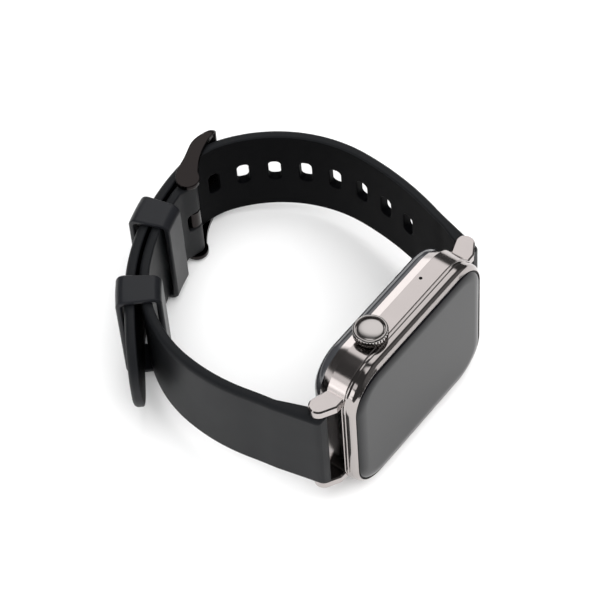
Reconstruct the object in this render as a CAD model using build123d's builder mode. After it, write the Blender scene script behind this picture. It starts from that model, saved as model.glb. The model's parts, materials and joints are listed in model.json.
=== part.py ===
"""Smartwatch with a rectangular metal case, a rotating push crown and a buckled silicone strap.

The watch is drawn display up: +X runs towards the six o'clock end, +Y towards the crown side and
+Z out of the display, with the origin in the middle of the case.  The strap loop hangs below it.
Each finished piece is then laid on its side, crown up, as the watch rests on a table.
"""

import os
from math import atan2, cos, degrees, radians, sin

from build123d import *

# ---------------------------------------------------------------- driving dimensions, millimetres
STRAP_HALF_WIDTH = 11.0
STRAP_THICK = 2.2

CASE_HALF_LENGTH = 22.1
CASE_HALF_WIDTH = 18.58
CASE_CORNER = 9.0
FRAME_TOP = -1.28           # parting groove between the bezel and the mid frame
FLANK_BACK = -5.37          # where the flat flank ends and the polished chamfer starts
CHAMFER_BACK = -7.4         # where the metal ends and the plastic back starts
BACK = -9.9
CHAMFER_IN = 1.0
WALL = 1.5

BEZEL_TOP = 1.57
GLASS_TOP = 2.2
OPENING_HALF_LENGTH = 21.3
OPENING_HALF_WIDTH = 16.9
OPENING_CORNER = 7.6

LUG_IN = 11.1               # lug faces, measured from the middle of the strap
LUG_OUT = 13.3
LUG_TIP = (25.0, -4.7)
LUG_TIP_R = 2.05
LUG_BEVEL = 0.3
BAR_X = 25.9                # spring bar axis at each end of the case
BAR_Z = -4.3
BARREL_R = 1.8              # strap end that wraps the spring bar

CROWN_X = -8.5
CROWN_Z = -3.9
CROWN_R = 3.6
CROWN_BASE = 18.98
CROWN_FACE = 20.9

MIC_X = 8.8
MIC_Z = -4.2

LOOP_X = 11.65              # centre of the round part of the loop, under the keepers
LOOP_Z = -11.5
SHORT_R = 54.0              # outer face of the short strap there
TAIL_R = 56.8               # outer face of the long strap's tail there
BUCKLE_BAR = (6.6, -63.3)
ARM_IN = 11.15
ARM_OUT = 12.3
TONGUE_SLOT = 4.7
SLOT_REACH = 2.6            # how far the slot runs into the strap beyond the bar
HOLE_PITCH = 6.84
HOLE_LENGTH = 2.8
HOLE_WIDTH = 5.5
HOLE_FIRST = 2.1            # angle of the buckled hole on the round part of the loop
HOLES_TO_CASE = 8
HOLES_TO_TIP = 4

# Bends of the strap's outer face, from the round part of the loop up to the case: radius and
# turn in degrees, positive to the left.
LONG_START = 1.2
LONG_BENDS = ((17.9, 35.7), (32.5, 57.3), (71.3, 17.2), (70.4, -3.8))
SHORT_START = 31.0
SHORT_BENDS = ((30.9, -18.0), (32.7, -32.7), (45.2, -19.8), (116.0, 3.0))
TAIL_BEND_AT = 41.0
TAIL_STRAIGHT = 16.6
TAIL_TIP_CORNER = 10.3
FLEX_LONG = (30.8, -19.5)   # where the strap flexes as the loop sways, middle of its thickness
FLEX_SHORT = (-28.9, -17.5)
FLEX_GAP = 0.36

BAR_R = 0.9
BAR_BORE_R = 0.6
TIP_R = 0.4
TIP_REACH = 0.85            # how far a tip enters the hole beyond the gap that the bar spans
SPRING_SHORTER = 3.4        # each end of the spring, measured in from the gap
GAP = 0.05                  # running clearance of pins and shafts


# ---------------------------------------------------------------- shared helpers
def case_outline(inset):
    """The case's plan outline, moved in by inset."""
    RectangleRounded(
        2 * (CASE_HALF_LENGTH - inset), 2 * (CASE_HALF_WIDTH - inset), CASE_CORNER - inset
    )


def opening_outline(inset):
    """The display opening's plan outline, moved in by inset."""
    RectangleRounded(
        2 * (OPENING_HALF_LENGTH - inset), 2 * (OPENING_HALF_WIDTH - inset), OPENING_CORNER - inset
    )


def slab(outline, inset, low, high, mode=Mode.ADD):
    """A straight prism of one of the outlines between two heights."""
    with BuildSketch(Plane.XY.offset(low)) as section:
        outline(inset)
    extrude(section.sketch, amount=high - low, mode=mode)


def block(x, y, z, mode=Mode.ADD):
    """A box given by its (low, high) limits along each axis."""
    with Locations(((x[0] + x[1]) / 2, (y[0] + y[1]) / 2, (z[0] + z[1]) / 2)):
        Box(x[1] - x[0], y[1] - y[0], z[1] - z[0], mode=mode)


def across(x, z, y):
    """A plane square to Y at depth y, centred on (x, z), facing +Y."""
    return Plane(origin=(x, y, z), x_dir=(1, 0, 0), z_dir=(0, 1, 0))


def shaft(x, z, radius, low, high, mode=Mode.ADD):
    """A cylinder along Y between two depths."""
    with BuildSketch(across(x, z, low)) as section:
        Circle(radius)
    extrude(section.sketch, amount=high - low, mode=mode)


def loop_point(radius, angle):
    """A point (x, z) on the round part of the loop; angle in degrees towards the twelve end."""
    return (LOOP_X - radius * sin(radians(angle)), LOOP_Z - radius * cos(radians(angle)))


def bend_line(start, heading, bends, inwards):
    """Tangent arcs one after another, moved inwards from the outer face; returns the end point."""
    side = 1 if bends[0][1] > 0 else -1
    point, direction = start, heading
    for radius, turn in bends:
        inner = radius - inwards if turn * side > 0 else radius + inwards
        arc = JernArc(start=point, tangent=direction, radius=inner, arc_size=turn)
        point, direction = arc @ 1, arc % 1
    return point


def coil(x, z, radius, wire, low, high, turns):
    """A helical wire spring along Y, in the current part."""
    length = high - low - 2 * wire
    with BuildLine() as path:
        Helix(length / turns, length, radius, center=(x, low + wire, z), direction=(0, 1, 0))
    with BuildSketch(Plane(origin=path.line @ 0, z_dir=path.line % 0)) as section:
        Circle(wire)
    sweep(section.sketch, path=path.line, is_frenet=True)


# ---------------------------------------------------------------- case: metal and glass
def lug(end, side):
    """One lug: a hulled horn with bevelled faces, reaching past the case's end."""
    middle = side * (LUG_IN + LUG_OUT) / 2
    with BuildSketch(across(0, 0, middle)) as section:
        with BuildLine():
            Polyline(
                (end * 20.55, -FRAME_TOP),
                (end * 23.4, -FRAME_TOP + 0.1),
                (end * 23.1, -FLANK_BACK + 0.1),
                (end * 20.55, -FLANK_BACK),
                close=True,
            )
        with Locations((end * LUG_TIP[0], -LUG_TIP[1])):
            Circle(LUG_TIP_R)
        make_hull()
    straight = (LUG_OUT - LUG_IN) / 2 - LUG_BEVEL
    extrude(section.sketch, amount=straight, both=True)
    for way in (-1, 1):
        shifted = section.sketch.moved(Location((0, way * straight, 0)))
        extrude(shifted, amount=way * LUG_BEVEL, taper=45)


with BuildPart() as mid_frame:
    slab(case_outline, 0, FLANK_BACK, FRAME_TOP)
    chamfer(mid_frame.faces().sort_by(Axis.Z)[-1].edges(), 0.12)
    with BuildSketch(Plane.XY.offset(CHAMFER_BACK)):
        case_outline(CHAMFER_IN)
    with BuildSketch(Plane.XY.offset(FLANK_BACK)):
        case_outline(0)
    loft(ruled=True)
    for end in (-1, 1):
        for side in (-1, 1):
            lug(end, side)
            shaft(end * BAR_X, BAR_Z, TIP_R + GAP, side * LUG_IN, side * 12.35, mode=Mode.SUBTRACT)
    slab(case_outline, WALL, CHAMFER_BACK, FRAME_TOP, mode=Mode.SUBTRACT)
    shaft(CROWN_X, CROWN_Z, 1.8, 16.0, 19.0, mode=Mode.SUBTRACT)
    shaft(MIC_X, MIC_Z, 0.38, 16.0, 19.0, mode=Mode.SUBTRACT)
    with BuildSketch(across(0, MIC_Z, -19.0)):
        with GridLocations(2.4, 1, 5, 1):
            SlotOverall(1.7, 0.7)
    extrude(amount=3, mode=Mode.SUBTRACT)

BEZEL_SECTIONS = (          # height, half length, half width, corner radius
    (-1.25, 21.98, 18.46, 8.88),
    (-1.08, 22.10, 18.56, 9.00),
    (-0.56, 22.10, 18.54, 9.00),
    (-0.46, 21.98, 18.41, 8.88),
    (0.60, 21.92, 18.20, 8.70),
    (0.95, 21.78, 17.95, 8.50),
    (1.57, 21.42, 17.02, 7.72),
)
with BuildPart() as bezel_ring:
    for height, half_length, half_width, corner in BEZEL_SECTIONS:
        with BuildSketch(Plane.XY.offset(height)):
            RectangleRounded(2 * half_length, 2 * half_width, corner)
    loft(ruled=True)
    slab(case_outline, WALL + GAP, -1.6, -1.25)
    slab(opening_outline, 0, 0.3, BEZEL_TOP + 1, mode=Mode.SUBTRACT)
    slab(opening_outline, 1.0, -1.6, 0.3, mode=Mode.SUBTRACT)

GLASS_SECTIONS = ((0.6, 0.3), (1.42, 0.3), (1.75, 0.62), (2.02, 1.35), (GLASS_TOP, 2.6))
with BuildPart() as cover_glass:
    for height, inset in GLASS_SECTIONS:
        with BuildSketch(Plane.XY.offset(height)):
            opening_outline(inset)
    loft(ruled=True)

with BuildPart() as display_gasket:
    slab(opening_outline, 0.02, 0.3, 1.32)
    slab(opening_outline, 0.3, 0.6, 1.32, mode=Mode.SUBTRACT)
    slab(opening_outline, 1.0, 0.3, 0.6, mode=Mode.SUBTRACT)

with BuildPart() as display_panel:
    slab(opening_outline, 1.2, -0.5, 0.6)

# ---------------------------------------------------------------- case: electronics
CHASSIS_INSET = 2.8
with BuildPart() as inner_chassis:
    slab(case_outline, CHASSIS_INSET, -6.8, -1.0)
    slab(case_outline, CHASSIS_INSET + 0.8, -6.8, -1.6, mode=Mode.SUBTRACT)
    block((-13.6, -3.4), (9.0, 20), (-7, -1.6), mode=Mode.SUBTRACT)
    block((7.2, 10.4), (13.5, 20), (-7, -1.6), mode=Mode.SUBTRACT)
    block((-7.2, 7.2), (-20, -10), (-7, -1.6), mode=Mode.SUBTRACT)
    block((13.2, 15.0), (-4.6, 4.6), (-2, 0), mode=Mode.SUBTRACT)
    with Locations((-14, -9, -1.3), (14, 10, -1.3), (13, -11, -1.3)):
        Cylinder(0.5, 2, mode=Mode.SUBTRACT)

with BuildPart() as display_flex:
    block((8.0, 14.2), (-4, 4), (-0.68, -0.5))
    block((14.0, 14.2), (-4, 4), (-1.8, -0.68))

with BuildPart() as main_board:
    slab(case_outline, CHASSIS_INSET + 1.0, -2.4, -1.8)
    block((-14, -3), (8.6, 20), (-3, -1), mode=Mode.SUBTRACT)
    with Locations((-14, -9, -2.1), (14, 10, -2.1), (13, -11, -2.1)):
        Cylinder(0.55, 2, mode=Mode.SUBTRACT)

with BuildPart() as board_screws:
    for x, y in ((-14, -9), (14, 10), (13, -11)):
        with Locations((x, y, -1.7)):
            Cylinder(0.5, 1.4)
        with Locations((x, y, -2.65)):
            Cylinder(1.0, 0.5)
        block((x - 0.7, x + 0.7), (y - 0.12, y + 0.12), (-2.9, -2.7), mode=Mode.SUBTRACT)

with BuildPart() as board_shield:
    block((0, 11), (-8, 3), (-3.7, -2.4))
    block((0.2, 10.8), (-7.8, 2.8), (-3.5, -2.4), mode=Mode.SUBTRACT)

with BuildPart() as board_chips:
    block((2, 8), (-6, 0), (-3.2, -2.4))
    block((-9, -4), (-5, 0), (-3.2, -2.4))
    block((-15, -11), (0, 4), (-3.3, -2.4))
    block((2, 6), (5, 8), (-3.1, -2.4))
    block((15, 17), (-4, 0), (-3.0, -2.4))

with BuildPart() as battery:
    block((-15, 10), (-8.8, 8.2), (-7.4, -3.9))
    fillet(battery.edges().filter_by(Axis.X), 0.8)

with BuildPart() as vibration_motor:
    with Locations((14.3, 6.5, -5.3)):
        Cylinder(4.0, 2.6)
    fillet(vibration_motor.edges(), 0.3)

with BuildPart() as speaker:
    block((-6.5, 6.5), (-16.9, -10.4), (-6.2, -2.9))
    fillet(speaker.edges().filter_by(Axis.Z), 1.5)
    with BuildSketch(across(0, MIC_Z, -16.9)):
        SlotOverall(10, 1.2)
    extrude(amount=0.5, mode=Mode.SUBTRACT)

with BuildPart() as microphone:
    block((MIC_X - 1.4, MIC_X + 1.4), (16.1, 17.0), (MIC_Z - 1, MIC_Z + 1))
    shaft(MIC_X, MIC_Z, 0.38, 16.6, 17.1, mode=Mode.SUBTRACT)

# ---------------------------------------------------------------- case: back
WINDOW_R = 11.0
with BuildPart() as back_cover:
    slab(case_outline, CHAMFER_IN, BACK, CHAMFER_BACK)
    fillet(back_cover.faces().sort_by(Axis.Z)[0].edges(), 2.3)
    slab(case_outline, WALL + 0.35, CHAMFER_BACK, -6.3)
    slab(case_outline, WALL + 1.1, -8.9, -6.3, mode=Mode.SUBTRACT)
    with Locations((0, 0, -9.6)):
        Cylinder(WINDOW_R, 0.8, mode=Mode.SUBTRACT)
    with Locations((0, 0, -9)):
        Cylinder(WINDOW_R - 1, 2, mode=Mode.SUBTRACT)
    with Locations((-1.5, -13.4, -9), (1.5, -13.4, -9)):
        Cylinder(0.8, 3, mode=Mode.SUBTRACT)

with BuildPart() as back_gasket:
    slab(case_outline, WALL + 0.02, -7.3, -6.7)
    slab(case_outline, WALL + 0.35, -7.3, -6.7, mode=Mode.SUBTRACT)

with BuildPart() as sensor_window:
    with Locations((0, 0, -9.75)):
        Cylinder(WINDOW_R - 0.05, 1.1)
    fillet(sensor_window.faces().sort_by(Axis.Z)[0].edges(), 0.7)

with BuildPart() as sensor_board:
    with Locations((0, 0, -8.25)):
        Cylinder(9.4, 0.5)

with BuildPart() as sensor_leds:
    with Locations((0, 0, -8.75)):
        Box(2.6, 2.6, 0.5)
    with PolarLocations(5.0, 4):
        with Locations((0, 0, -8.7)):
            Box(1.6, 1.6, 0.4)

with BuildPart() as charge_contacts:
    with Locations((-1.5, -13.4, -8.95), (1.5, -13.4, -8.95)):
        Cylinder(0.8, 1.9)
    fillet(charge_contacts.faces().sort_by(Axis.Z)[:2].edges(), 0.2)

with BuildPart() as charge_magnets:
    with Locations((-6.5, -12.6, -8.4), (6.5, -12.6, -8.4)):
        Cylinder(2.2, 1.0)

# ---------------------------------------------------------------- crown
with BuildPart() as crown_tube:
    shaft(CROWN_X, CROWN_Z, 1.8, 14.9, 18.4)
    shaft(CROWN_X, CROWN_Z, 2.2, 16.4, CASE_HALF_WIDTH - WALL)
    shaft(CROWN_X, CROWN_Z, 1.0 + GAP, 14.0, 19.0, mode=Mode.SUBTRACT)

with BuildPart() as crown_stem:
    shaft(CROWN_X, CROWN_Z, 1.0, 12.6, 19.9)
    for low, high, radius in ((14.4, 14.8, 0.65), (17.2, 17.7, 0.62)):
        shaft(CROWN_X, CROWN_Z, 1.2, low, high, mode=Mode.SUBTRACT)
        shaft(CROWN_X, CROWN_Z, radius, low, high)

KNURLS = 36
with BuildPart() as crown_knob:
    shaft(CROWN_X, CROWN_Z, CROWN_R, CROWN_BASE, CROWN_FACE)
    fillet(crown_knob.faces().sort_by(Axis.Y)[-1].edges(), 0.35)
    chamfer(crown_knob.faces().sort_by(Axis.Y)[0].edges(), 0.2)
    with BuildSketch(across(CROWN_X, CROWN_Z, CROWN_BASE)):
        with PolarLocations(CROWN_R + 0.05, KNURLS):
            Circle(0.2)
    extrude(amount=1.45, mode=Mode.SUBTRACT)
    shaft(CROWN_X, CROWN_Z, 2.95, CROWN_FACE - 0.5, CROWN_FACE + 0.1, mode=Mode.SUBTRACT)
    shaft(CROWN_X, CROWN_Z, 1.0, CROWN_BASE - 0.1, 19.9, mode=Mode.SUBTRACT)

with BuildPart() as crown_cap:
    shaft(CROWN_X, CROWN_Z, 2.8, CROWN_FACE - 0.5, CROWN_FACE - 0.05)
    fillet(crown_cap.faces().sort_by(Axis.Y)[-1].edges(), 0.25)

with BuildPart() as crown_oring:
    with BuildSketch(Plane.XY.offset(CROWN_Z)):
        with Locations((CROWN_X + 0.82, 17.45)):
            Circle(0.2)
    revolve(axis=Axis((CROWN_X, 0, CROWN_Z), (0, 1, 0)))

with BuildPart() as crown_clip:
    shaft(CROWN_X, CROWN_Z, 1.9, 14.42, 14.78)
    shaft(CROWN_X, CROWN_Z, 0.65, 14.4, 14.8, mode=Mode.SUBTRACT)
    block((CROWN_X - 0.5, CROWN_X + 0.5), (14, 15), (CROWN_Z - 2, CROWN_Z), mode=Mode.SUBTRACT)

with BuildPart() as crown_plunger:
    shaft(CROWN_X, CROWN_Z, 1.9, 12.1, 12.55)
    shaft(CROWN_X, CROWN_Z, 0.6, 11.3, 12.1)

with BuildPart() as crown_spring:
    coil(CROWN_X, CROWN_Z, 1.35, 0.13, 10.4, 12.1, 3.5)

with BuildPart() as crown_switch:
    block((CROWN_X - 3, CROWN_X + 3), (9.3, 10.4), (-6.2, -1.9))
    shaft(CROWN_X, CROWN_Z, 0.5, 10.4, 10.85)


# ---------------------------------------------------------------- spring bars
def bar_tube(x, z, half_gap):
    """The hollow body of a spring bar, its ends closed in to a collar round each tip."""
    shaft(x, z, BAR_R, 0.5 - half_gap, half_gap - 0.5)
    shaft(x, z, BAR_BORE_R, 0.9 - half_gap, half_gap - 0.9, mode=Mode.SUBTRACT)
    shaft(x, z, TIP_R + GAP, -half_gap, half_gap, mode=Mode.SUBTRACT)


def bar_tip(x, z, half_gap, side):
    """A spring bar's sprung tip: a shoulder inside the tube and a pivot that enters the bore."""
    shoulder = half_gap - 0.95
    shaft(x, z, BAR_BORE_R - GAP, side * (half_gap - SPRING_SHORTER), side * shoulder)
    shaft(x, z, TIP_R, side * shoulder, side * (half_gap + TIP_REACH))


BARS = {                    # axis and half of the gap that it spans
    "twelve_bar": (-BAR_X, BAR_Z, LUG_IN),
    "six_bar": (BAR_X, BAR_Z, LUG_IN),
    "buckle_bar": (*BUCKLE_BAR, ARM_IN),
}
bar_parts = {}
for bar, (x, z, half_gap) in BARS.items():
    with BuildPart() as tube:
        bar_tube(x, z, half_gap)
    bar_parts[bar] = tube
    with BuildPart() as spring:
        coil(x, z, 0.4, 0.11, SPRING_SHORTER - half_gap, half_gap - SPRING_SHORTER, 18)
    bar_parts[f"{bar}_spring"] = spring
    for name, side in (("crown_side", 1), ("far_side", -1)):
        with BuildPart() as tip:
            bar_tip(x, z, half_gap, side)
        bar_parts[f"{bar}_tip_{name}"] = tip


# ---------------------------------------------------------------- strap
def band_outline(start, heading, normal, bends):
    """A strip of the strap's thickness along the bends, starting at start."""
    inner_start = (start[0] + normal[0] * STRAP_THICK, start[1] + normal[1] * STRAP_THICK)
    with BuildLine() as rim:
        outer_end = bend_line(start, heading, bends, 0)
        inner_end = bend_line(inner_start, heading, bends, STRAP_THICK)
        Line(start, inner_start)
        Line(outer_end, inner_end)
    make_face(rim.edges())
    return outer_end, inner_end


def loop_frame(radius, angle):
    """Start point, heading towards the six end and inward normal on the round part of the loop."""
    turn = radians(angle)
    return loop_point(radius, angle), (cos(turn), -sin(turn)), (sin(turn), cos(turn))


def root_outline(bar, outer_end, inner_end):
    """The thickened end of a strap: the barrel round the bar, hulled onto the strip's end."""
    with BuildLine() as strip_end:
        Line(outer_end, inner_end)
    with Locations(bar):
        barrel = Circle(BARREL_R)
    make_hull([*barrel.edges(), *strip_end.edges()])


def long_strap_blank():
    """The whole long strap, from the bar at the six end round to the tip of its tail."""
    start, heading, normal = loop_frame(TAIL_R, LONG_START)
    back = (-heading[0], -heading[1])
    with BuildSketch(Plane.XZ) as profile:
        ends = band_outline(start, heading, normal, LONG_BENDS)
        root_outline((BAR_X, BAR_Z), *ends)
        tail_ends = band_outline(start, back, normal, ((TAIL_R, LONG_START - TAIL_BEND_AT),))
    extrude(profile.sketch, amount=STRAP_HALF_WIDTH, both=True)
    end_heading = (-cos(radians(TAIL_BEND_AT)), sin(radians(TAIL_BEND_AT)))
    end_normal = (sin(radians(TAIL_BEND_AT)), cos(radians(TAIL_BEND_AT)))
    middle = (tail_ends[0] + tail_ends[1]) / 2
    tip_plane = Plane(
        origin=(middle.X, 0, middle.Y),
        x_dir=(end_heading[0], 0, end_heading[1]),
        z_dir=(end_normal[0], 0, end_normal[1]),
    )
    with BuildSketch(tip_plane) as tail_tip:
        with Locations((TAIL_STRAIGHT / 2, 0)):
            tip = Rectangle(TAIL_STRAIGHT, 2 * STRAP_HALF_WIDTH)
        fillet(tip.vertices().group_by(Axis.X)[-1], TAIL_TIP_CORNER)
    extrude(tail_tip.sketch, amount=STRAP_THICK / 2, both=True)


def short_strap_blank():
    """The whole short strap, from the bar at the twelve end to the bar of the buckle."""
    start, heading, normal = loop_frame(SHORT_R, SHORT_START)
    back = (-heading[0], -heading[1])
    with BuildSketch(Plane.XZ) as profile:
        ends = band_outline(start, back, normal, SHORT_BENDS)
        root_outline((-BAR_X, BAR_Z), *ends)
        ends = band_outline(start, heading, normal, ((SHORT_R, SHORT_START - 9.5),))
        root_outline(BUCKLE_BAR, *ends)
    extrude(profile.sketch, amount=STRAP_HALF_WIDTH, both=True)


def flex_plane(point, angle):
    """The plane that cuts the strap at a flex line, facing the case."""
    return Plane(origin=(point[0], 0, point[1]), z_dir=(sin(radians(angle)), 0, cos(radians(angle))))


LONG_FLEX_PLANE = flex_plane(FLEX_LONG, -12.0)
SHORT_FLEX_PLANE = flex_plane(FLEX_SHORT, 8.0)


def strap_hole_planes():
    """Planes lying on the long strap's inner face at each of its adjusting holes."""
    inner_radius = TAIL_R - STRAP_THICK
    start, heading, normal = loop_frame(inner_radius, LONG_START)
    with BuildLine() as face:
        bend_line(start, heading, LONG_BENDS, STRAP_THICK)
    run = face.wire()
    planes = []
    for index in range(1, HOLES_TO_CASE + 1):
        along = index * HOLE_PITCH - inner_radius * radians(HOLE_FIRST - LONG_START)
        spot = run.position_at(along, PositionMode.LENGTH)
        way = run.tangent_at(along, PositionMode.LENGTH)
        planes.append(Plane((spot.X, 0, spot.Y), x_dir=(way.X, 0, way.Y), z_dir=(way.Y, 0, -way.X)))
    for index in range(HOLES_TO_TIP + 1):
        angle = HOLE_FIRST + degrees(index * HOLE_PITCH / inner_radius)
        (x, z), heading, normal = loop_frame(inner_radius, angle)
        planes.append(
            Plane((x, 0, z), x_dir=(heading[0], 0, heading[1]), z_dir=(-normal[0], 0, -normal[1]))
        )
    return planes


with BuildPart() as long_strap_root:
    long_strap_blank()
    split(bisect_by=LONG_FLEX_PLANE.offset(FLEX_GAP / 2), keep=Keep.TOP)
    shaft(BAR_X, BAR_Z, BAR_R + GAP, -12, 12, mode=Mode.SUBTRACT)

with BuildPart() as long_strap:
    long_strap_blank()
    split(bisect_by=LONG_FLEX_PLANE.offset(-FLEX_GAP / 2), keep=Keep.BOTTOM)
    with BuildSketch(*strap_hole_planes()):
        RectangleRounded(HOLE_LENGTH, HOLE_WIDTH, 1.1)
    extrude(amount=STRAP_THICK + 1, both=True, mode=Mode.SUBTRACT)

with BuildPart() as short_strap_root:
    short_strap_blank()
    split(bisect_by=SHORT_FLEX_PLANE.offset(FLEX_GAP / 2), keep=Keep.TOP)
    shaft(-BAR_X, BAR_Z, BAR_R + 2 * GAP, -12, 12, mode=Mode.SUBTRACT)

with BuildPart() as short_strap:
    short_strap_blank()
    split(bisect_by=SHORT_FLEX_PLANE.offset(-FLEX_GAP / 2), keep=Keep.BOTTOM)
    shaft(*BUCKLE_BAR, BAR_R + GAP, -12, 12, mode=Mode.SUBTRACT)
    with BuildSketch(Plane.XY.offset(BUCKLE_BAR[1])):
        with Locations((BUCKLE_BAR[0], 0)):
            RectangleRounded(2 * SLOT_REACH, TONGUE_SLOT, 1.0)
    extrude(amount=4, both=True, mode=Mode.SUBTRACT)

# ---------------------------------------------------------------- keepers
KEEPER_HALF_WIDTH = 12.2
KEEPER_WALL = 1.3
KEEPER_SIDE_WALL = 1.05


def keeper(inner_radius, outer_radius, first, last):
    """A strap loop: a flat rectangular sleeve bent round the loop between two angles."""
    centre, heading, normal = loop_frame(0, first)
    radial = Plane(
        origin=(centre[0], 0, centre[1]),
        x_dir=(-normal[0], 0, -normal[1]),
        z_dir=(-heading[0], 0, -heading[1]),
    )
    middle = (inner_radius + outer_radius) / 2
    height = outer_radius - inner_radius
    with BuildSketch(radial) as section:
        with Locations((middle, 0)):
            RectangleRounded(height, 2 * KEEPER_HALF_WIDTH, 1.9)
            RectangleRounded(
                height - 2 * KEEPER_WALL,
                2 * (KEEPER_HALF_WIDTH - KEEPER_SIDE_WALL),
                0.7,
                mode=Mode.SUBTRACT,
            )
    revolve(
        section.sketch,
        axis=Axis((LOOP_X, 0, LOOP_Z), (0, 1, 0)),
        revolution_arc=last - first,
    )


with BuildPart() as keeper_near_buckle:
    keeper(49.8, 59.0, 13.8, 21.1)

with BuildPart() as keeper_near_tip:
    keeper(48.9, 58.6, 35.5, 43.0)

# ---------------------------------------------------------------- buckle
# Points of the buckle are measured from its bar, x towards the case's six end and z outwards.
ARM_KNUCKLE_R = 2.55
ARM_OUTER = (
    (-1.9, -1.7), (0.65, -3.4), (3.35, -4.1), (6.95, -5.35), (8.8, -5.8), (11.0, -5.6), (14.5, -4.3),
)
ARM_INNER = ((14.1, -3.6), (9.45, -2.9), (5.65, -1.4), (3.75, -0.2), (1.9, 1.3))
ARM_DEEPEST = 5.8
PLATE_INNER = ((-6, 5), (-6, -9), (9.2, -9), (9.2, -4.75), (11.5, -4.25), (14.2, -3.3), (18, 3))
PLATE_CORNER = 2.4


def from_bar(points):
    """Points measured from the buckle's bar, in the part's own frame."""
    return [(BUCKLE_BAR[0] + x, BUCKLE_BAR[1] + z) for x, z in points]


with BuildPart() as buckle_frame:
    with BuildSketch(Plane.XZ):
        with BuildLine():
            outer = Spline(*from_bar(ARM_OUTER))
            inner = Spline(*from_bar(ARM_INNER))
            Line(outer @ 1, inner @ 0)
            Polyline(inner @ 1, BUCKLE_BAR, outer @ 0)
        make_face()
        with Locations(BUCKLE_BAR):
            Circle(ARM_KNUCKLE_R)
    extrude(amount=ARM_OUT, both=True)
    with BuildSketch(Plane.XZ):
        with BuildLine():
            Polyline(*from_bar(PLATE_INNER), close=True)
        make_face()
    extrude(amount=ARM_IN, both=True, mode=Mode.SUBTRACT)
    with BuildSketch(Plane.XY.offset(-75)):
        with Locations((BUCKLE_BAR[0] + 4, 0)):
            plan = Rectangle(22.0, 2 * ARM_OUT)
        fillet(plan.vertices().group_by(Axis.X)[-1], PLATE_CORNER)
    extrude(amount=20, mode=Mode.INTERSECT)
    for side in (-1, 1):
        shaft(*BUCKLE_BAR, TIP_R + GAP, side * (ARM_IN - 1), side * (ARM_IN + 0.95), mode=Mode.SUBTRACT)

TONGUE_HALF_WIDTH = 1.7
TONGUE_BARREL_R = 1.75
TONGUE = (
    (0.87, -1.0), (1.85, -2.6), (2.4, -5.0), (2.6, -6.1), (3.3, -6.8), (13.3, -6.5), (13.8, -6.0),
    (13.5, -5.55), (9.8, -5.9), (4.3, -5.95), (3.8, -5.3), (3.2, -2.6), (1.7, 0.1), (0, 0),
)
with BuildPart() as buckle_tongue:
    with BuildSketch(Plane.XZ):
        with BuildLine():
            Polyline(*from_bar(TONGUE), close=True)
        make_face()
    extrude(amount=TONGUE_HALF_WIDTH, both=True)
    shaft(*BUCKLE_BAR, TONGUE_BARREL_R, -2.15, 2.15)
    shaft(*BUCKLE_BAR, BAR_R + GAP, -3, 3, mode=Mode.SUBTRACT)

# ---------------------------------------------------------------- laid on its side and written
LEAN = degrees(atan2(CASE_HALF_WIDTH - ARM_OUT, FLANK_BACK - BUCKLE_BAR[1] + ARM_DEEPEST))
PIECES = {
    "mid_frame": mid_frame,
    "bezel_ring": bezel_ring,
    "cover_glass": cover_glass,
    "display_gasket": display_gasket,
    "display_panel": display_panel,
    "display_flex": display_flex,
    "inner_chassis": inner_chassis,
    "main_board": main_board,
    "board_screws": board_screws,
    "board_shield": board_shield,
    "board_chips": board_chips,
    "battery": battery,
    "vibration_motor": vibration_motor,
    "speaker": speaker,
    "microphone": microphone,
    "back_cover": back_cover,
    "back_gasket": back_gasket,
    "sensor_window": sensor_window,
    "sensor_board": sensor_board,
    "sensor_leds": sensor_leds,
    "charge_contacts": charge_contacts,
    "charge_magnets": charge_magnets,
    "crown_tube": crown_tube,
    "crown_stem": crown_stem,
    "crown_knob": crown_knob,
    "crown_cap": crown_cap,
    "crown_oring": crown_oring,
    "crown_clip": crown_clip,
    "crown_plunger": crown_plunger,
    "crown_spring": crown_spring,
    "crown_switch": crown_switch,
    **bar_parts,
    "long_strap_root": long_strap_root,
    "long_strap": long_strap,
    "short_strap_root": short_strap_root,
    "short_strap": short_strap,
    "keeper_near_buckle": keeper_near_buckle,
    "keeper_near_tip": keeper_near_tip,
    "buckle_frame": buckle_frame,
    "buckle_tongue": buckle_tongue,
}


def resting_place():
    """Turns the watch crown up and puts the middle of its box's floor at the origin."""
    turned = Location((0, 0, 0), (90 - LEAN, 0, 0))
    boxes = [piece.part.moved(turned).bounding_box() for piece in PIECES.values()]
    low = Vector(*(min(getattr(box.min, axis) for box in boxes) for axis in "XYZ"))
    high = Vector(*(max(getattr(box.max, axis) for box in boxes) for axis in "XYZ"))
    return Location((-(low.X + high.X) / 2, -(low.Y + high.Y) / 2, -low.Z), (90 - LEAN, 0, 0))


RESTING = resting_place()
os.makedirs("parts", exist_ok=True)
for name, piece in PIECES.items():
    piece.part.move(RESTING)
    piece.part.label = name
    export_step(piece.part, f"parts/{name}.step")
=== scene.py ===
"""Looks for the smartwatch: bent silicone straps, keepers, polished case, glass, crown and buckle.

Shapes are drawn in millimetres with the display up: +X towards the six o'clock end, +Y towards
the crown and +Z out of the display.  PLACE turns that drawing into the frame's resting pose.
"""

import json
import math

import bmesh
import bpy
import numpy as np
from mathutils import Matrix, Vector
from mathutils.geometry import tessellate_polygon


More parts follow.
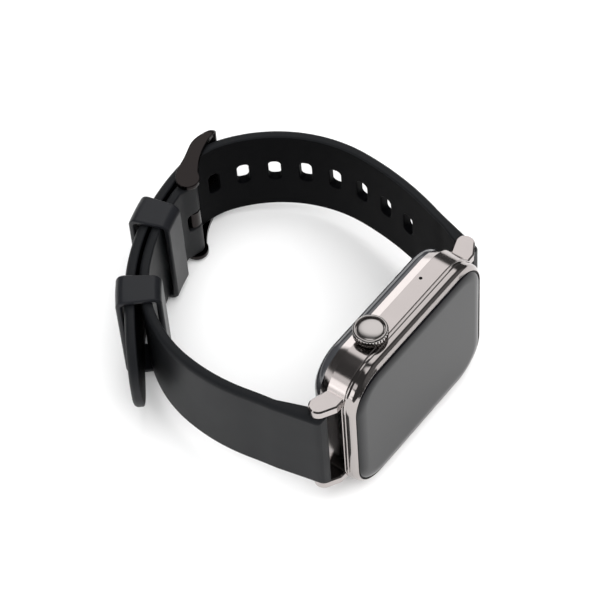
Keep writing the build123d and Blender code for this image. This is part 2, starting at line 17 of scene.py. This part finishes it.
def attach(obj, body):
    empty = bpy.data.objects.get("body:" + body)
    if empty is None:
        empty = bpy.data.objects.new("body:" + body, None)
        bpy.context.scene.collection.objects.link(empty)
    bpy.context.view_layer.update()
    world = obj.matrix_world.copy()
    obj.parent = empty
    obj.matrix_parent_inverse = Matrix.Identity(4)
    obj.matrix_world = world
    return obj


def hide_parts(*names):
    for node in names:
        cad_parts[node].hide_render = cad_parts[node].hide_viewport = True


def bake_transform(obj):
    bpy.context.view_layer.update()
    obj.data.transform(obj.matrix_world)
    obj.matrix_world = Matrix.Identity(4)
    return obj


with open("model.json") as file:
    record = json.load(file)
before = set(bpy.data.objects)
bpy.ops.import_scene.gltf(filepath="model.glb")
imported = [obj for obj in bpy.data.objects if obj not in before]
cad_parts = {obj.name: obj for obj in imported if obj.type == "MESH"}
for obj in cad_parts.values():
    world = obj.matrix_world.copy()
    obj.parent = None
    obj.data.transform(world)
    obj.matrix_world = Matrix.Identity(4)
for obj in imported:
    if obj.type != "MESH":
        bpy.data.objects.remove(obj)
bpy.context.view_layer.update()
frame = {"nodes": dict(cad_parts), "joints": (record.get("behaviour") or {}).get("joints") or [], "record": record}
JOINTS = {joint["name"]: joint for joint in frame["joints"]}
NODES = frame["nodes"]
MM = 0.001
FACE_WEIGHT = 80         # how strongly large faces hold the shading normals

# ---------------------------------------------------------------- driving dimensions, millimetres
BAR_X, BAR_Z = 25.9, -4.3               # spring bars at the case
BARREL_R = 1.8
STRAP_THICK = 2.2
STRAP_HALF_WIDTH = 11.0
OUTER_EDGE_R, INNER_EDGE_R, HOLE_EDGE_R = 1.0, 0.35, 0.3
LOOP_X, LOOP_Z = 11.65, -11.5           # centre of the loop's round part
SHORT_R, TAIL_R = 54.0, 56.8            # outer faces there
LONG_START, SHORT_START = 1.2, 31.0
LONG_BENDS = ((17.9, 35.7), (32.5, 57.3), (71.3, 17.2), (70.4, -3.8))
SHORT_BENDS = ((30.9, -18.0), (32.7, -32.7), (45.2, -19.8), (116.0, 3.0))
TAIL_BEND_AT = 41.0
TAIL_STRAIGHT = 16.6
TAIL_TIP_R = 10.3
HOLE_PITCH, HOLE_LENGTH, HOLE_WIDTH, HOLE_CORNER = 6.84, 2.8, 5.5, 1.1
HOLE_FIRST = 2.1
HOLES_TO_CASE, HOLES_TO_TIP = 8, 4
BUCKLE_BAR = (6.6, -63.3)
TONGUE_SLOT, SLOT_REACH, SLOT_CORNER = 4.7, 2.6, 1.0
SHORT_FIRST = 9.5


def placement():
    """The matrix from the drawing, in millimetres, to the frame, in metres."""
    axis = Vector(JOINTS["crown_turn"]["axis"])
    lean = math.atan2(axis.y, axis.z)
    turn = Matrix.Rotation(math.pi / 2 - lean, 4, "X")
    bar = Vector(JOINTS["strap_sway"]["pos_m"])
    return Matrix.Translation(bar - turn @ (Vector((BAR_X, 0, BAR_Z)) * MM)) @ turn @ Matrix.Scale(MM, 4)


PLACE = placement()


# ---------------------------------------------------------------- materials
def rgb(value):
    """A grey or an RGB triple as a colour with alpha."""
    return (value, value, value, 1) if isinstance(value, float) else (*value, 1)


def finish_of(name, colour, roughness, metallic=0.0, scale=900.0, mottle=0.15, rough_spread=0.08,
              bump=0.1, depth=0.00002, **sockets):
    """A principled surface whose colour and roughness wander a little, with a fine bump grain."""
    material = bpy.data.materials.new(name)
    material.use_nodes = True
    tree = material.node_tree
    shader = tree.nodes["Principled BSDF"]
    where = tree.nodes.new("ShaderNodeTexCoord")
    grain = tree.nodes.new("ShaderNodeTexNoise")
    grain.inputs["Scale"].default_value = scale
    grain.inputs["Detail"].default_value = 5.0
    cloud = tree.nodes.new("ShaderNodeTexNoise")
    cloud.inputs["Scale"].default_value = scale / 12
    cloud.inputs["Detail"].default_value = 3.0
    tone = tree.nodes.new("ShaderNodeMixRGB")
    tone.inputs["Color1"].default_value = rgb(tuple(c * (1 - mottle) for c in rgb(colour)[:3]))
    tone.inputs["Color2"].default_value = rgb(tuple(c * (1 + mottle) for c in rgb(colour)[:3]))
    rough = tree.nodes.new("ShaderNodeMapRange")
    rough.inputs["To Min"].default_value = roughness - rough_spread
    rough.inputs["To Max"].default_value = roughness + rough_spread
    height = tree.nodes.new("ShaderNodeBump")
    height.inputs["Strength"].default_value = bump
    height.inputs["Distance"].default_value = depth
    links = tree.links
    for noise in (grain, cloud):
        links.new(where.outputs["Object"], noise.inputs["Vector"])
    links.new(cloud.outputs["Fac"], tone.inputs["Fac"])
    links.new(tone.outputs["Color"], shader.inputs["Base Color"])
    links.new(cloud.outputs["Fac"], rough.inputs["Value"])
    links.new(rough.outputs["Result"], shader.inputs["Roughness"])
    links.new(grain.outputs["Fac"], height.inputs["Height"])
    links.new(height.outputs["Normal"], shader.inputs["Normal"])
    shader.inputs["Metallic"].default_value = metallic
    for socket, value in sockets.items():
        shader.inputs[socket.replace("_", " ")].default_value = value
    return material


TITANIUM = (0.42, 0.385, 0.375)
MOULDED = {"scale": 2200, "mottle": 0.12, "rough_spread": 0.05, "bump": 0.25, "depth": 0.00003}
LOOKS = {
    "case_metal": finish_of("satin_titanium", TITANIUM, 0.15, 1.0, scale=2600, mottle=0.04,
                            rough_spread=0.02, bump=0.05),
    "case_polished": finish_of("polished_titanium", (0.38, 0.35, 0.34), 0.09, 1.0, mottle=0.03,
                               rough_spread=0.02, bump=0.02),
    "crown_metal": finish_of("crown_steel", (0.42, 0.395, 0.385), 0.14, 1.0, mottle=0.04,
                             rough_spread=0.03, bump=0.03),
    "glass": finish_of("cover_glass", (0.004, 0.004, 0.005), 0.12, mottle=0.3, rough_spread=0.02, bump=0.0,
                       IOR=1.52, Specular_IOR_Level=0.2),
    "gasket": finish_of("gasket_rubber", 0.012, 0.7),
    "display": finish_of("dark_display", 0.006, 0.2),
    "flex": finish_of("amber_film", (0.45, 0.22, 0.05), 0.35),
    "chassis": finish_of("moulded_chassis", 0.045, 0.55),
    "board": finish_of("solder_mask", (0.015, 0.09, 0.045), 0.35, mottle=0.3),
    "chips": finish_of("chip_mould", 0.02, 0.5),
    "steel": finish_of("plain_steel", 0.55, 0.3, 1.0, mottle=0.05),
    "battery": finish_of("battery_foil", (0.5, 0.5, 0.52), 0.4, 1.0),
    "back_plastic": finish_of("gloss_back", (0.035, 0.036, 0.04), 0.16, rough_spread=0.03, bump=0.01,
                              Coat_Weight=0.5),
    "sensor_glass": finish_of("sensor_glass", (0.006, 0.006, 0.008), 0.08, bump=0.0, IOR=1.52),
    "leds": finish_of("led_resin", (0.5, 0.55, 0.45), 0.2),
    "contacts": finish_of("gold_plate", (0.83, 0.6, 0.25), 0.2, 1.0, mottle=0.06),
    "magnets": finish_of("nickel_plate", 0.5, 0.25, 1.0),
    "silicone": finish_of("moulded_silicone", (0.0065, 0.007, 0.008), 0.5,
                          Specular_IOR_Level=0.18, **MOULDED),
    "buckle_metal": finish_of("gunmetal_coating", (0.024, 0.0205, 0.020), 0.2, 1.0, mottle=0.05,
                              rough_spread=0.03, bump=0.05),
}

# Painted shade: a darker, less glossy copy of the same silicone for the long strap's inner face and hole walls,
# standing in for the shade inside the loop.
INNER_PAINTED_SHADE_SILICONE = finish_of("moulded_silicone_inner_painted_shade", (0.0012, 0.0013, 0.0017), 0.6,
                           Specular_IOR_Level=0.05, **MOULDED)
KEEPER_SILICONE = finish_of("moulded_silicone_keeper", (0.0085, 0.0090, 0.0108), 0.38,
                            Specular_IOR_Level=0.28, **MOULDED)


# ---------------------------------------------------------------- mesh helpers
def piece(name, verts, faces, look, body, instead_of, smooth_below=35.0):
    """A mesh object placed in the frame, given its finish, body and the CAD nodes it stands for."""
    mesh = bpy.data.meshes.new(name)
    mesh.from_pydata([tuple(v) for v in verts], [], [tuple(f) for f in faces])
    mesh.validate()
    form = bmesh.new()
    form.from_mesh(mesh)
    bmesh.ops.remove_doubles(form, verts=form.verts, dist=1e-5)
    bmesh.ops.recalc_face_normals(form, faces=form.faces)
    form.to_mesh(mesh)
    form.free()
    return settle(mesh, name, look, body, instead_of, smooth_below)


def settle(mesh, name, look, body, instead_of, smooth_below):
    """Places a drawing mesh in the frame and gives it its finish, body and stood-for nodes."""
    mesh.transform(PLACE)
    mesh.shade_smooth()
    mesh.set_sharp_from_angle(angle=math.radians(smooth_below))
    mesh.materials.append(LOOKS[look])
    made = bpy.data.objects.new(name, mesh)
    bpy.context.scene.collection.objects.link(made)
    weights = made.modifiers.new("weights", "WEIGHTED_NORMAL")
    weights.keep_sharp = True
    weights.weight = FACE_WEIGHT
    if body:
        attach(made, body)
    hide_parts(*instead_of)
    return made


def grid_faces(rows, columns, close_rows, close_columns):
    """Quads of a grid of points stored row by row."""
    faces = []
    for i in range(rows if close_rows else rows - 1):
        for j in range(columns if close_columns else columns - 1):
            a, b = i * columns + j, i * columns + (j + 1) % columns
            c, d = ((i + 1) % rows) * columns + (j + 1) % columns, ((i + 1) % rows) * columns + j
            faces.append((a, b, c, d))
    return faces


def rounded_rectangle(half_x, half_y, corner, per_corner=14, per_side=8):
    """Points of a rounded rectangle, anticlockwise; the same count for any size."""
    points = []
    for quarter, (sx, sy) in enumerate(((1, 1), (-1, 1), (-1, -1), (1, -1))):
        centre = (sx * (half_x - corner), sy * (half_y - corner))
        for step in range(per_corner + 1):
            angle = math.radians(90 * quarter + 90 * step / per_corner)
            points.append((centre[0] + corner * math.cos(angle), centre[1] + corner * math.sin(angle)))
        nx, ny = ((-1, 1), (-1, -1), (1, -1), (1, 1))[quarter]
        end = (nx * (half_x - corner), ny * (half_y - corner))
        turn = math.radians(90 * (quarter + 1))
        end = (end[0] + corner * math.cos(turn), end[1] + corner * math.sin(turn))
        start = points[-1]
        for step in range(1, per_side):
            share = step / per_side
            points.append((start[0] + (end[0] - start[0]) * share, start[1] + (end[1] - start[1]) * share))
    return points


# ---------------------------------------------------------------- strap
def loop_point(radius, angle):
    """A point (x, z) on the loop's round part, angle in degrees towards the twelve end."""
    turn = math.radians(angle)
    return LOOP_X - radius * math.sin(turn), LOOP_Z - radius * math.cos(turn)


def run_to_bar(end, heading, bar):
    """The thickened strap end: rows of distance, x, z, heading and share of the thickness."""
    reach = math.hypot(bar[0] - end[0], bar[1] - end[1])
    line = math.atan2(bar[1] - end[1], bar[0] - end[0])
    line += 2 * math.pi * round((heading - line) / (2 * math.pi))
    rows = []
    for along in np.linspace(0, reach + BARREL_R * 0.999, 40)[1:]:
        ease = min(1.0, along / (0.5 * reach))
        way = heading + (line - heading) * ease * ease * (3 - 2 * ease)
        half = STRAP_THICK / 2 + (BARREL_R - STRAP_THICK / 2) * along / reach
        if along > reach:
            half = math.sqrt(BARREL_R ** 2 - (along - reach) ** 2)
        rows.append((along, end[0] + along * math.cos(line), end[1] + along * math.sin(line), way,
                     2 * half / STRAP_THICK))
    return rows


def strap_route(start, heading_deg, bends, end_bar, start_bar=None):
    """The strap's centreline along tangent arcs, then on to its bars.

    Each bend is (centreline radius, turn in degrees).  The result has a row for each sample, of
    distance, x, z, heading and share of the full thickness, and the distance where each bend ends."""
    rows, marks = [(0.0, *start, math.radians(heading_deg), 1.0)], [0.0]
    for radius, turn in bends:
        length = abs(radius * math.radians(turn))
        steps = math.ceil(length / 0.5)
        half = math.radians(turn) / steps / 2
        for _ in range(steps):
            s, x, z, way, _ = rows[-1]
            chord = length / steps * math.sin(abs(half)) / abs(half)
            x, z = x + chord * math.cos(way + half), z + chord * math.sin(way + half)
            rows.append((s + length / steps, x, z, way + 2 * half, 1.0))
        marks.append(rows[-1][0])
    s, x, z, way, _ = rows[-1]
    rows += [(s + row[0], *row[1:]) for row in run_to_bar((x, z), way, end_bar)]
    if start_bar:
        first = math.radians(heading_deg)
        lead = run_to_bar(start, first - math.pi, start_bar)
        rows = [(-row[0], row[1], row[2], row[3] + math.pi, row[4]) for row in lead[::-1]] + rows
    return np.array(rows), marks


def wound(loop, anticlockwise):
    """The loop of (x, y) points, turned to run the given way round."""
    area = sum(a[0] * b[1] - b[0] * a[1] for a, b in zip(loop, loop[1:] + loop[:1]))
    return loop if (area > 0) == anticlockwise else loop[::-1]


def moved_in(loop, inset):
    """The loop moved to its left by inset, mitred at its corners."""
    points = np.array(loop)
    along = np.roll(points, -1, 0) - points
    along /= np.linalg.norm(along, axis=1)[:, None]
    left = np.stack([-along[:, 1], along[:, 0]], 1)
    mitre = left + np.roll(left, 1, 0)
    return points + mitre * (2 * inset / (mitre ** 2).sum(1))[:, None]


def edge_rows(outer_radius, inner_radius):
    """(inset, lift) from the outer face, round both edges, to the inner face; outer is up."""
    half = STRAP_THICK / 2
    angles = np.linspace(0, math.pi / 2, 7)
    rows = [(outer_radius * (1 - math.sin(a)), half - outer_radius * (1 - math.cos(a))) for a in angles]
    angles = angles[::-2]
    rows += [(inner_radius * (1 - math.sin(a)), inner_radius * (1 - math.cos(a)) - half) for a in angles]
    return rows


def flat_blank(outline, holes, outer_side):
    """The strap laid flat with rounded edges: x along it, y across and z through it.

    outer_side is 1 or -1, the side of z that becomes the outer face.  Inner faces and the walls
    of holes take the second material."""
    loops = [wound(outline, True)] + [wound(hole, False) for hole in holes]
    form = bmesh.new()
    faces_in, faces_out = [], []
    for index, loop in enumerate(loops):
        rows = edge_rows(HOLE_EDGE_R, HOLE_EDGE_R) if index else edge_rows(OUTER_EDGE_R, INNER_EDGE_R)
        rings = []
        for inset, lift in rows:
            ring = [form.verts.new((x, y, lift * outer_side)) for x, y in moved_in(loop, inset)]
            rings.append(ring)
        for upper, lower in zip(rings, rings[1:]):
            for k in range(len(loop)):
                nxt = (k + 1) % len(loop)
                side = form.faces.new((upper[k], upper[nxt], lower[nxt], lower[k]))
                side.material_index = min(index, 1)
        faces_out.append(rings[0])
        faces_in.append(rings[-1])
    for rings, material in ((faces_out, 0), (faces_in, 1)):
        flat = [[Vector((v.co.x, v.co.y, 0)) for v in ring] for ring in rings]
        verts = [v for ring in rings for v in ring]
        for triangle in tessellate_polygon(flat):
            form.faces.new([verts[k] for k in triangle]).material_index = material
    return form


def bend_blank(name, form, route, step=0.8):
    """Cuts the flat blank across at even steps and bends it along its route."""
    low = min(v.co.x for v in form.verts)
    high = max(v.co.x for v in form.verts)
    for cut in np.arange(low + step, high, step):
        geometry = form.verts[:] + form.edges[:] + form.faces[:]
        bmesh.ops.bisect_plane(form, geom=geometry, plane_co=(cut, 0, 0), plane_no=(1, 0, 0), dist=1e-5)
    for vert in form.verts:
        along, across, lift = vert.co
        x, z, way, fat = (np.interp(along, route[:, 0], route[:, k]) for k in (1, 2, 3, 4))
        vert.co = (x - fat * lift * math.sin(way), across, z + fat * lift * math.cos(way))
    bmesh.ops.recalc_face_normals(form, faces=form.faces)
    mesh = bpy.data.meshes.new(name)
    form.to_mesh(mesh)
    form.free()
    return mesh


def strap_skin(name, form, route, instead_of, inner_look):
    """The bent strap as an object, its inner face and its holes in the finish given as inner_look, which for the
    long strap is a darker copy of the silicone painted in as shade.
    """
    skin = settle(bend_blank(name, form, route), name, "silicone", None, instead_of, 50)
    skin.data.materials.append(inner_look)
    return skin


def make_long_strap():
    """The holed strap, from the tip of its tail to the bar at the six o'clock end."""
    middle, inner = TAIL_R - STRAP_THICK / 2, TAIL_R - STRAP_THICK
    x, z = loop_point(middle, TAIL_BEND_AT)
    turn = math.radians(-TAIL_BEND_AT)
    start = (x - TAIL_STRAIGHT * math.cos(turn), z - TAIL_STRAIGHT * math.sin(turn))
    nearly_straight = (TAIL_STRAIGHT * 1e4, math.degrees(1e-4))
    bends = [nearly_straight, (middle, TAIL_BEND_AT - LONG_START)]
    bends += [(r - math.copysign(STRAP_THICK / 2, turn), turn) for r, turn in LONG_BENDS]
    route, marks = strap_route(start, -TAIL_BEND_AT, bends, (BAR_X, BAR_Z))
    on_inner = [(inner, TAIL_BEND_AT - LONG_START)]
    on_inner += [(r - math.copysign(STRAP_THICK, turn), abs(turn)) for r, turn in LONG_BENDS]
    inner_marks = np.cumsum([0.0] + [r * math.radians(a) for r, a in on_inner])
    buckled = inner * math.radians(TAIL_BEND_AT - HOLE_FIRST)
    along = [buckled + k * HOLE_PITCH for k in range(-HOLES_TO_TIP, HOLES_TO_CASE + 1)]
    hole = rounded_rectangle(HOLE_LENGTH / 2, HOLE_WIDTH / 2, HOLE_CORNER, 6, 2)
    holes = [[(s + x, y) for x, y in hole] for s in np.interp(along, inner_marks, marks[1:])]
    angles = np.linspace(0, math.pi / 2, 16)
    flat_end = STRAP_HALF_WIDTH - TAIL_TIP_R
    side = [(TAIL_TIP_R * (1 - math.cos(a)), flat_end + TAIL_TIP_R * math.sin(a)) for a in angles]
    side += [(s, STRAP_HALF_WIDTH) for s in np.linspace(TAIL_TIP_R, route[-1, 0], 80)[1:]]
    outline = side + [(s, -y) for s, y in side[::-1]]
    # The inner face and hole walls take the darker silicone copy, painted shade for the inside of the loop.
    skin = strap_skin("long_strap_skin", flat_blank(outline, holes, -1), route,
                      ("long_strap_root", "long_strap"), INNER_PAINTED_SHADE_SILICONE)
    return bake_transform(skin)


def make_short_strap():
    """The buckle's strap, from the buckle's bar to the bar at the twelve o'clock end."""
    middle = SHORT_R - STRAP_THICK / 2
    start = loop_point(middle, SHORT_FIRST)
    bends = [(middle, SHORT_FIRST - SHORT_START)]
    bends += [(r + math.copysign(STRAP_THICK / 2, turn), turn) for r, turn in SHORT_BENDS]
    route, _ = strap_route(start, 180 - SHORT_FIRST, bends, (-BAR_X, BAR_Z), BUCKLE_BAR)
    low, high = route[0, 0], route[-1, 0]
    slot_end = low + BARREL_R + SLOT_REACH
    angles = np.linspace(math.pi / 2, 0, 7)
    half = TONGUE_SLOT / 2
    notch = []
    for a in angles:
        notch.append((slot_end - SLOT_CORNER * (1 - math.cos(a)), half - SLOT_CORNER * (1 - math.sin(a))))
    side = [(s, STRAP_HALF_WIDTH) for s in np.linspace(low, high, 80)]
    outline = side + [(s, -y) for s, y in side[::-1]]
    outline += [(low, -half)] + [(s, -y) for s, y in notch] + notch[::-1] + [(low, half)]
    skin = strap_skin("short_strap_skin", flat_blank(outline, [], 1), route,
                      ("short_strap_root", "short_strap"), LOOKS["silicone"])
    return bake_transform(skin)


# ---------------------------------------------------------------- keepers
KEEPER_HALF_WIDTH, KEEPER_WALL, KEEPER_SIDE_WALL = 12.2, 1.3, 1.05
KEEPER_CORNER, KEEPER_INNER_CORNER, KEEPER_RIM_R = 1.9, 0.7, 0.42


def make_keeper(name, inner_radius, outer_radius, first, last):
    """A strap loop: a rounded rectangular sleeve bent round the loop, its rims rounded."""
    height = outer_radius - inner_radius
    middle = (inner_radius + outer_radius) / 2
    outer = rounded_rectangle(height / 2, KEEPER_HALF_WIDTH, KEEPER_CORNER, 8, 6)
    inner_half_width = KEEPER_HALF_WIDTH - KEEPER_SIDE_WALL
    inner = rounded_rectangle(height / 2 - KEEPER_WALL, inner_half_width, KEEPER_INNER_CORNER, 8, 6)
    length = math.radians(last - first) * middle
    rim = rounded_rectangle(length / 2, KEEPER_WALL / 2, KEEPER_RIM_R, 4, 4)
    verts = []
    for (ox, oy), (ix, iy) in zip(outer, inner):
        for along, depth in rim:
            share = 0.5 - depth / KEEPER_WALL
            x, y = ox + (ix - ox) * share, oy + (iy - oy) * share
            px, pz = loop_point(middle + x, (first + last) / 2 + math.degrees(along / middle))
            verts.append((px, y, pz))
    faces = grid_faces(len(outer), len(rim), True, True)
    skin = piece(name + "_skin", verts, faces, "silicone", name, (name,))
    skin.data.materials[0] = KEEPER_SILICONE
    return skin


# ---------------------------------------------------------------- case
BEZEL_PROFILE = (            # height, half length, half width, corner radius, outside then inside
    (-1.25, 21.98, 18.46, 8.88), (-1.10, 22.09, 18.55, 8.99), (-1.0, 22.10, 18.56, 9.00),
    (-0.62, 22.10, 18.54, 9.00), (-0.50, 22.04, 18.47, 8.94), (-0.44, 21.98, 18.41, 8.88),
    (0.30, 21.97, 18.37, 8.85), (0.60, 21.95, 18.31, 8.80), (0.80, 21.91, 18.22, 8.72),
    (0.96, 21.85, 18.08, 8.60), (1.10, 21.76, 17.86, 8.42), (1.20, 21.69, 17.68, 8.26),
    (1.52, 21.44, 17.06, 7.76), (1.56, 21.40, 17.00, 7.70), (1.56, 21.33, 16.93, 7.63),
    (1.50, 21.30, 16.90, 7.60),
    (0.30, 21.30, 16.90, 7.60), (0.30, 20.30, 15.90, 6.60), (-1.25, 20.30, 15.90, 6.60),
)


RING_STEPS = (20, 12)                   # points per corner and per side
RING_COUNT = len(rounded_rectangle(1, 1, 0.5, *RING_STEPS))


def ring_points(profile):
    """Rings of points, one per profile row."""
    points = []
    for height, half_x, half_y, corner in profile:
        points += [(x, y, height) for x, y in rounded_rectangle(half_x, half_y, corner, *RING_STEPS)]
    return points


def make_bezel():
    """The ring round the glass, with its stepped outer edge."""
    rows = len(BEZEL_PROFILE)
    columns = RING_COUNT
    verts = ring_points(BEZEL_PROFILE)
    return piece("bezel_skin", verts, grid_faces(rows, columns, True, True), "case_polished", "case",
                 ("bezel_ring",), 30)


GLASS_SEAT = (21.3, 16.9, 7.6)          # half length, half width and corner radius of its seat
GLASS_FOOT, GLASS_SHOULDER, GLASS_TOP = 0.6, 1.3, 2.18
GLASS_GAP, GLASS_ROLL, GLASS_FLAT_FROM = 0.3, 2.6, 5.0


def make_glass():
    """The cover glass: a flat face that rolls over to its edge."""
    edge = [(GLASS_FOOT, GLASS_GAP), (GLASS_SHOULDER, GLASS_GAP)]
    for a in np.linspace(0, math.pi / 2, 13)[1:]:
        height = GLASS_SHOULDER + (GLASS_TOP - GLASS_SHOULDER) * math.sin(a)
        edge.append((height, GLASS_GAP + GLASS_ROLL * (1 - math.cos(a))))
    edge.append((GLASS_TOP, GLASS_FLAT_FROM))
    seat_x, seat_y, seat_corner = GLASS_SEAT
    profile = [(h, seat_x - inset, seat_y - inset, seat_corner - inset) for h, inset in edge]
    columns = RING_COUNT
    verts = ring_points(profile)
    faces = grid_faces(len(profile), columns, False, True)
    faces.append(tuple(range(columns))[::-1])
    faces.append(tuple(range(len(verts) - columns, len(verts))))
    return piece("glass_skin", verts, faces, "glass", "case", ("cover_glass",), 40)


# ---------------------------------------------------------------- crown
CROWN_X, CROWN_Z = -8.5, -3.9
CROWN_BASE, CROWN_FACE = 18.98, 20.9
KNURLS, KNURL_DEPTH = 36, 0.42
CAP_DOME = 0.035                        # how fast the cap falls away from its middle


def turned(name, profile, ripple_count, per_ripple, look, body, instead_of, smooth_below=40):
    """A piece turned about the crown's axis; profile rows are (radius, depth, ripple height)."""
    count = ripple_count * per_ripple
    verts = []
    for radius, depth, ripple in profile:
        for k in range(count):
            angle = 2 * math.pi * k / count
            wave = min(1.0, max(0.0, 1.6 * math.sin(math.pi * (k % per_ripple) / per_ripple)))
            r = radius - ripple * (1 - wave)
            verts.append((CROWN_X + r * math.cos(angle), depth, CROWN_Z + r * math.sin(angle)))
    faces = grid_faces(len(profile), count, False, True)
    for first, radius in ((0, profile[0][0]), (len(verts) - count, profile[-1][0])):
        if radius > 0:
            faces.append(tuple(range(first, first + count)))
    return piece(name, verts, faces, look, body, instead_of, smooth_below)


def make_crown():
    """The knurled knob and the domed cap set in its face."""
    face = CROWN_FACE
    knob = [
        (1.02, CROWN_BASE, 0), (3.3, CROWN_BASE, 0), (3.55, CROWN_BASE + 0.15, 0.1),
        (3.6, CROWN_BASE + 0.3, KNURL_DEPTH),
        (3.6, face - 0.42, KNURL_DEPTH), (3.56, face - 0.3, 0.2), (3.52, face - 0.2, 0.02),
        (3.46, face - 0.1, 0), (3.36, face - 0.03, 0), (3.2, face, 0),
        (3.05, face, 0), (2.97, face - 0.06, 0), (2.95, face - 0.15, 0),
        (2.95, face - 0.5, 0), (1.02, face - 0.5, 0),
    ]
    turned("crown_knob_skin", knob, KNURLS, 8, "crown_metal", "crown", ("crown_knob",))
    cap = [(2.8, face - 0.5, 0), (2.8, face - 0.42, 0), (2.76, face - 0.36, 0), (2.66, face - 0.31, 0)]
    cap += [(r, face - 0.05 - CAP_DOME * r * r, 0) for r in (2.5, 2.2, 1.9, 1.6, 1.3, 1.0, 0.7, 0.4, 0.15)]
    turned("crown_cap_skin", cap, 24, 4, "crown_metal", "crown", ("crown_cap",))


# ---------------------------------------------------------------- CAD nodes that stay
def bevelled(name, width):
    """Rounds the hard edges of a CAD node that stays."""
    node = NODES[name]
    weld = node.modifiers.new("weld", "WELD")
    weld.merge_threshold = 1e-6
    flat = node.modifiers.new("flat", "DECIMATE")
    flat.decimate_type = "DISSOLVE"
    flat.angle_limit = math.radians(0.8)
    bevel = node.modifiers.new("bevel", "BEVEL")
    bevel.width = width * MM
    bevel.segments = 3
    bevel.limit_method = "ANGLE"
    bevel.angle_limit = math.radians(32)
    weights = node.modifiers.new("weights", "WEIGHTED_NORMAL")
    weights.weight = FACE_WEIGHT


def finish_cad_nodes():
    """Gives every CAD node the finish of its material slot."""
    for row in frame["record"]["subparts"]:
        node = NODES[row["node"]]
        node.data.materials.clear()
        node.data.materials.append(LOOKS[row["material_slot"]])


# ---------------------------------------------------------------- studio
def make_floor():
    """A pale floor under the watch."""
    mesh = bpy.data.meshes.new("floor")
    side = 3.0
    corners = [(-side, -side, 0), (side, -side, 0), (side, side, 0), (-side, side, 0)]
    mesh.from_pydata(corners, [], [(0, 1, 2, 3)])
    floor = bpy.data.objects.new("floor", mesh)
    bpy.context.scene.collection.objects.link(floor)
    mesh.materials.append(finish_of("pale_floor", 0.9, 0.7, mottle=0.01, scale=300, bump=0.02))


def area_light(name, place, target, size, power):
    """A soft rectangular lamp that looks at a point."""
    lamp = bpy.data.lights.new(name, "AREA")
    lamp.shape = "RECTANGLE"
    lamp.size, lamp.size_y = size
    lamp.energy = power
    holder = bpy.data.objects.new(name, lamp)
    holder.location = place
    holder.rotation_mode = "QUATERNION"
    holder.rotation_quaternion = (Vector(target) - Vector(place)).to_track_quat("-Z", "Y")
    holder.visible_glossy = False
    bpy.context.scene.collection.objects.link(holder)


ROOM = 0.07                 # brightness of the dim room
PANELS = (                  # degrees from +Y towards +X, degrees up, strength, radius in degrees
    (52, 46, 1.5, 22),
    (-4, 80, 1.35, 14),
    (36, 2, 2.3, 17),
    (-63, 32, 1.2, 9),
    (-65, 14, 2.2, 12),
    (-68, -4, 2.2, 12),
    (150, 25, 0.12, 45),
)


def make_world():
    """A dim room with a few soft bright panels, so that polished metal has something to show."""
    world = bpy.data.worlds.new("studio")
    bpy.context.scene.world = world
    world.use_nodes = True
    tree = world.node_tree
    where = tree.nodes.new("ShaderNodeTexCoord")
    total = None
    for azimuth, elevation, strength, radius in PANELS:
        turn, lift = math.radians(azimuth), math.radians(elevation)
        direction = (math.sin(turn) * math.cos(lift), math.cos(turn) * math.cos(lift), math.sin(lift))
        facing = tree.nodes.new("ShaderNodeVectorMath")
        facing.operation = "DOT_PRODUCT"
        facing.inputs[1].default_value = direction
        glow = tree.nodes.new("ShaderNodeMapRange")
        glow.interpolation_type = "SMOOTHSTEP"
        glow.inputs["From Min"].default_value = math.cos(math.radians(radius))
        glow.inputs["From Max"].default_value = math.cos(math.radians(radius * 0.6))
        glow.inputs["To Max"].default_value = strength
        tree.links.new(where.outputs["Generated"], facing.inputs[0])
        tree.links.new(facing.outputs["Value"], glow.inputs["Value"])
        if total is None:
            glow.inputs["To Min"].default_value = ROOM
            total = glow.outputs["Result"]
        else:
            add = tree.nodes.new("ShaderNodeMath")
            tree.links.new(total, add.inputs[0])
            tree.links.new(glow.outputs["Result"], add.inputs[1])
            total = add.outputs["Value"]
    tree.links.new(total, tree.nodes["Background"].inputs["Strength"])
    tree.nodes["Background"].inputs["Color"].default_value = (1, 1, 1, 1)


def make_lights():
    """A broad lamp high over the table and a weaker one on the twelve o'clock side."""
    centre = (0, 0, 0.02)
    area_light("overhead", (-0.1, -0.35, 1.3), centre, (2.6, 2.6), 54)
    area_light("left", (-0.9, -0.25, 0.35), centre, (0.5, 0.4), 3)


AIM = (-3.01, -7.32, 26.70)     # millimetres, in the frame
AZIMUTH, ELEVATION, ROLL = -54.95, 55.42, 2.68
DISTANCE = 501.6
FOCAL_LENGTH = 147.55


def make_camera():
    """A long lens above the twelve o'clock end, looking down across the crown side."""
    azimuth, elevation = math.radians(AZIMUTH), math.radians(ELEVATION)
    level = math.cos(elevation)
    back = Vector((math.sin(azimuth) * level, -math.cos(azimuth) * level, math.sin(elevation)))
    data = bpy.data.cameras.new("camera")
    data.lens = FOCAL_LENGTH
    data.clip_start, data.clip_end = 0.05, 20
    camera = bpy.data.objects.new("camera", data)
    camera.location = (Vector(AIM) + back * DISTANCE) * MM
    camera.rotation_mode = "QUATERNION"
    roll = Matrix.Rotation(math.radians(ROLL), 3, "Z").to_quaternion()
    camera.rotation_quaternion = (-back).to_track_quat("-Z", "Y") @ roll
    bpy.context.scene.collection.objects.link(camera)
    bpy.context.scene.camera = camera


finish_cad_nodes()
make_long_strap()
make_short_strap()
make_keeper("keeper_near_buckle", 49.8, 59.0, 13.8, 21.1)
make_keeper("keeper_near_tip", 48.9, 58.6, 35.5, 43.0)
make_bezel()
make_glass()
make_crown()
bevelled("buckle_frame", 0.3)
bevelled("buckle_tongue", 0.2)
make_floor()
make_world()
make_lights()
make_camera()
bpy.context.scene.view_settings.view_transform = "Standard"
